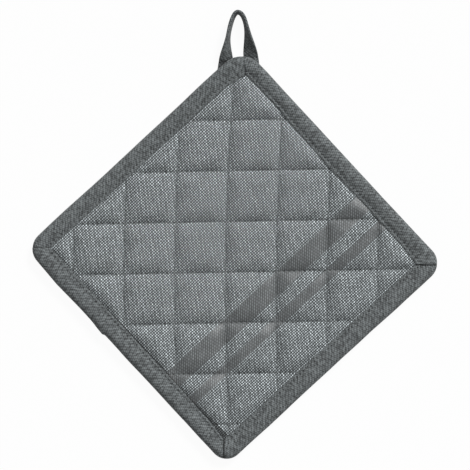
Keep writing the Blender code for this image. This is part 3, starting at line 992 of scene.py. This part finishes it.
def tape_seams():
    """The places of the two rows of topstitches round the binding's section, in millimetres."""
    profile = binding_profile()
    lengths = round_lengths([Vector(point) for point in profile])
    return [length / MM for length, (distance, height) in zip(lengths, profile)
            if abs(distance - STITCH_INSET) < 0.01 * MM and abs(height) > CHANNEL_HALF + 0.1 * MM]


def make_binding(stations, material):
    profile = binding_profile()
    rings = [[station.at(*point) for point in profile] for station in stations]
    mesh = skin("binding_tape", rings, hoop=True)
    lines = [side_line(side) for side in range(4)]

    def along(row, following, point):
        """The place of a point along the following row's side."""
        start, way = lines[stations[(row + 1) % len(rings)].side]
        return (rings[(row + following) % len(rings)][point].xy - start).dot(way)

    map_tape(mesh, len(rings), [Vector(point) for point in profile], along)
    # How deep each point of the front lies in a mitre's crease, for the painted shade there
    folds = [station.fold(point.xy, distance)[0] if height > 0 else 0.0
             for station, ring in zip(stations, rings)
             for (distance, height), point in zip(profile, ring)]
    finish_tape("binding_tape", mesh, folds, material, "binding")


def map_tape(mesh, rows, ring, along):
    """Map a skin as a flat tape, whose places across it are those round one of its rings."""
    across = round_lengths(ring)
    places = mesh.uv_layers.new(name=TAPE_MAP).data
    loop = 0
    for row in range(rows):
        for place in range(len(ring)):
            for following, reach in ((0, place), (1, place), (1, place + 1), (0, place + 1)):
                places[loop].uv = (along(row, following, reach % len(ring)), across[reach])
                loop += 1


def finish_tape(name, mesh, folds, material, node):
    """Turn a tape's faces out, keep how much painted shade from folds and from the binding's edge
    its points get, and add the piece.
    """
    mesh.attributes.new(FOLD_SHADE_MAP, "FLOAT", "POINT").data.foreach_set("value", folds)
    shape = bmesh.new()
    shape.from_mesh(mesh)
    bmesh.ops.recalc_face_normals(shape, faces=shape.faces)
    shape.to_mesh(mesh)
    shape.free()
    mesh.shade_smooth()
    mesh.set_sharp_from_angle(angle=radians(60))
    add_piece(name, mesh, material, node)


def make_topstitch(stations, face, side, material):
    """The seam that holds the binding."""
    groove = FRONT_GROOVE if side > 0 else -BACK_GROOVE
    lift = Vector((0, 0, side * THREAD_RADIUS * 0.7))
    runs = []
    first = ceil(STITCH_INSET / BINDING_STITCH)
    last = int((SIDE - STITCH_INSET) / BINDING_STITCH)
    for edge in range(4):
        start, way = side_line(edge)
        points = [station.at(STITCH_INSET, groove) + lift
                  for station in stations if station.side == edge]
        points.sort(key=lambda point: (point.xy - start).dot(way))
        places = [(point.xy - start).dot(way) for point in points]
        runs += [[point_along(points, places, end) for end in stitch_ends(hole, BINDING_STITCH)]
                 for hole in range(first, last)]
    node = f"{face}_topstitch"
    stitches(f"{node}_stitches", node, runs, side, material)


def point_along(points, lengths, distance):
    """The point of a line at a distance along it, from the lengths up to its points."""
    place = int(np.searchsorted(lengths, distance)) - 1
    place = min(max(place, 0), len(points) - 2)
    part = (distance - lengths[place]) / (lengths[place + 1] - lengths[place])
    return points[place].lerp(points[place + 1], part)


# Hanging loop

def bezier(first, second, third, fourth, share):
    rest = 1 - share
    return (first * rest ** 3 + second * 3 * rest * rest * share
            + third * 3 * rest * share * share + fourth * share ** 3)


def leg_path(foot, belly, shoulder, outward):
    """The middle line of one half of the loop, from its hidden end to the top."""
    edge = (LOOP_WIDTH / 2 - LOOP_EDGE_BEVEL * LOOP_THICKNESS) * cos(LOOP_TILT)
    top = Vector((-LOOP_LEAN, LOOP_TOP - edge - LOOP_THICKNESS / 2 * sin(LOOP_TILT)))
    start = Vector((foot, LOOP_FOOT))
    belly_handle = Vector((belly, LOOP_FOOT + (top.y - LOOP_FOOT) * LOOP_BELLY))
    shoulder_handle = Vector((top.x + outward * shoulder, top.y))
    tail = []
    for part in range(LOOP_TAIL_STEPS, 0, -1):
        back = part / LOOP_TAIL_STEPS * LOOP_TUCK
        tail.append(Vector((foot + outward * tan(FOOT_SPLAY) * back, LOOP_FOOT - back)))
    return tail + [bezier(start, belly_handle, shoulder_handle, top, step / LOOP_STEPS)
                   for step in range(LOOP_STEPS + 1)]


def loop_tilt(y, drop, length):
    """How far the tape has turned onto its edge at a height of the loop."""
    share = min(max((y - tip(TOP) + drop) / length, 0), 1)
    return LOOP_TILT * sin(share * pi / 2)


def loop_section(half):
    """The tape's section, as (across, through) pairs: flat with soft edges and two grooves."""
    wide = LOOP_WIDTH / 2
    outline = []
    for part in range(5):
        turn = pi / 2 * (1 - part / 4)
        outline.append((wide - half * 0.9 * (1 - cos(turn)), half * (sin(turn) * 0.98)))
    right = outline + [(across, -through) for across, through in outline[-2::-1]]
    groove = wide - LOOP_GROOVE_MARGIN
    face = [(groove + LOOP_GROOVE_HALF, half), (groove, half - LOOP_GROOVE),
            (groove - LOOP_GROOVE_HALF, half)]
    face += [(wide * share, half * 1.04) for share in (0.45, 0.15, -0.15, -0.45)]
    face += [(-across, through) for across, through in face[2::-1]]
    bottom = [(across, -through) for across, through in reversed(face)]
    left = [(-across, through) for across, through in reversed(right)]
    return right + bottom + left + face[::-1]


def loop_ring(centre, tangent, tilt):
    """The tape's section, whose lower edge stays near the table as the tape turns."""
    turned = tilt / LOOP_TILT
    half = (LOOP_PRESSED + (LOOP_THICKNESS - LOOP_PRESSED) * turned) / 2
    lift = LOOP_END_LIFT + (TABLE_GAP - LOOP_END_LIFT) * turned
    up = Vector((0, 0, 1))
    outwards = up.cross(tangent.to_3d()).normalized()
    across = outwards * cos(tilt) + up * sin(tilt)
    through = up * cos(tilt) - outwards * sin(tilt)
    middle = centre.to_3d() + up * (lift + LOOP_WIDTH / 2 * sin(tilt) + half * cos(tilt))
    return [middle + across * a + through * b for a, b in loop_section(half)]


def foot_shade_share(point):
    """How near a point of the loop is to the binding's edge, under which it goes; this sets the
    painted shade on the loop's feet.
    """
    middle = Vector((0, SHARP_CORNER - TOP_RADIUS * sqrt(2)))
    away = (point.xy - middle).length - TOP_RADIUS
    return min(max(1 - away / FOOT_SHADE, 0), 1)


def make_loop(material):
    left = leg_path(*LEFT_LEG, -1)
    right = leg_path(*RIGHT_LEG, 1)
    path = left + right[-2::-1]
    rings = []
    for place, centre in enumerate(path):
        before = path[max(place - 1, 0)]
        after = path[min(place + 1, len(path) - 1)]
        twist = LEFT_TWIST if place < len(left) else RIGHT_TWIST
        rings.append(loop_ring(centre, after - before, loop_tilt(centre.y, *twist)))
    mesh = skin("loop_tape", rings, hoop=False)
    lengths = round_lengths(path)
    map_tape(mesh, len(rings) - 1, rings[len(left)],
             lambda row, following, point: lengths[row + following])
    folds = [LOOP_FOOT_SHADES[row >= len(left)] * foot_shade_share(point)
             for row, ring in enumerate(rings) for point in ring]
    finish_tape("loop_tape", mesh, folds, material, "hanging_loop")


# Surroundings

def white_to_the_camera(tree, plain, white, share):
    """Mix a plain surface with white, for what the camera and reflections see."""
    path = tree.nodes.new("ShaderNodeLightPath")
    seen = path.outputs["Is Camera Ray"]
    for operation, other in (("MAXIMUM", path.outputs["Is Glossy Ray"]),
                             ("MAXIMUM", path.outputs["Is Transmission Ray"]), ("MULTIPLY", None)):
        math = tree.nodes.new("ShaderNodeMath")
        math.operation = operation
        math.inputs[1].default_value = share
        tree.links.new(seen, math.inputs[0])
        if other:
            tree.links.new(other, math.inputs[1])
        seen = math.outputs[0]
    mix = tree.nodes.new("ShaderNodeMixShader")
    for number, socket in enumerate((seen, plain, white)):
        tree.links.new(socket, mix.inputs[number])
    return mix.outputs[0]


def make_floor():
    bpy.ops.mesh.primitive_plane_add(size=FLOOR_SIDE, location=(0, 0, -FLOOR_DROP))
    floor = bpy.context.object
    floor.name = "floor"
    graph = Graph("white_floor", roughness=0.9)
    graph.shader.inputs["Base Color"].default_value = (FLOOR_GREY, FLOOR_GREY, FLOOR_GREY, 1)
    glow = graph.node("Emission", (1, 1, 1, 1))
    mixed = white_to_the_camera(graph.tree, graph.shader.outputs[0], glow.outputs[0], FLOOR_WHITE)
    graph.feed(graph.tree.nodes["Material Output"].inputs["Surface"], mixed)
    floor.data.materials.append(graph.material)


def make_light():
    sun = bpy.data.lights.new("sun", "SUN")
    sun.energy = SUN_SHARE * pi / sin(SUN_ELEVATION)
    sun.angle = SUN_SOFTNESS
    lamp = add_object("sun", sun)
    level = cos(SUN_ELEVATION)
    way = Vector((cos(SUN_AZIMUTH) * level, sin(SUN_AZIMUTH) * level, sin(SUN_ELEVATION)))
    lamp.rotation_euler = way.to_track_quat("Z", "Y").to_euler()
    world = bpy.data.worlds.new("studio")
    bpy.context.scene.world = world
    world.use_nodes = True
    tree = world.node_tree
    plain = tree.nodes["Background"]
    plain.inputs["Color"].default_value = (1, 1, 1, 1)
    split = tree.nodes.new("ShaderNodeSeparateXYZ")
    tree.links.new(tree.nodes.new("ShaderNodeTexCoord").outputs["Generated"], split.inputs[0])
    overhead = tree.nodes.new("ShaderNodeMapRange")
    tree.links.new(split.outputs["Z"], overhead.inputs["Value"])
    overhead.inputs["To Max"].default_value = SKY_SLOPE * (1 - SUN_SHARE)
    tree.links.new(overhead.outputs[0], plain.inputs["Strength"])
    white = tree.nodes.new("ShaderNodeBackground")
    white.inputs["Color"].default_value = (1, 1, 1, 1)
    mixed = white_to_the_camera(tree, plain.outputs[0], white.outputs[0], 1.0)
    tree.links.new(mixed, tree.nodes["World Output"].inputs["Surface"])


def make_camera():
    """Straight over the table, with the pad as large and as turned as in the photograph."""
    pixel = SIDE / SIDE_IN_PHOTO
    right = (PHOTO_SIDE / 2 - CENTRE_IN_PHOTO[0]) * pixel
    up = (CENTRE_IN_PHOTO[1] - PHOTO_SIDE / 2) * pixel
    data = bpy.data.cameras.new("camera")
    data.sensor_width = SENSOR
    data.lens = SENSOR * CAMERA_HEIGHT / (PHOTO_SIDE * pixel)
    data.clip_end = 100
    camera = add_object("camera", data)
    camera.location = (right * cos(PHOTO_TURN) - up * sin(PHOTO_TURN),
                       right * sin(PHOTO_TURN) + up * cos(PHOTO_TURN) - FRAME_SHIFT,
                       MIDDLE + CAMERA_HEIGHT)
    camera.rotation_euler = (0, 0, PHOTO_TURN)
    bpy.context.scene.camera = camera


def main():
    bpy.context.scene.view_settings.view_transform = "Standard"
    make_camera()
    make_light()
    make_floor()
    cloth = cloth_material()
    binding_tape = tape_material("binding_twill", BINDING_TONE, tape_seams())
    loop_tape = tape_material("loop_twill", LOOP_TONE)
    thread = thread_material()
    make_cloth("face_cloth", "front_panel", FACE_STEPS, 1, 1, cloth)
    make_cloth("back_cloth", "back_panel", BACK_STEPS, -1, 2, cloth)
    make_quilting("front", 1, thread)
    make_quilting("back", -1, thread)
    stations = binding_stations()
    make_binding(stations, binding_tape)
    make_topstitch(stations, "front", 1, thread)
    make_topstitch(stations, "back", -1, thread)
    make_loop(loop_tape)
    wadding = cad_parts["wadding"]
    wadding.data.materials.clear()
    wadding.data.materials.append(wadding_material())


main()
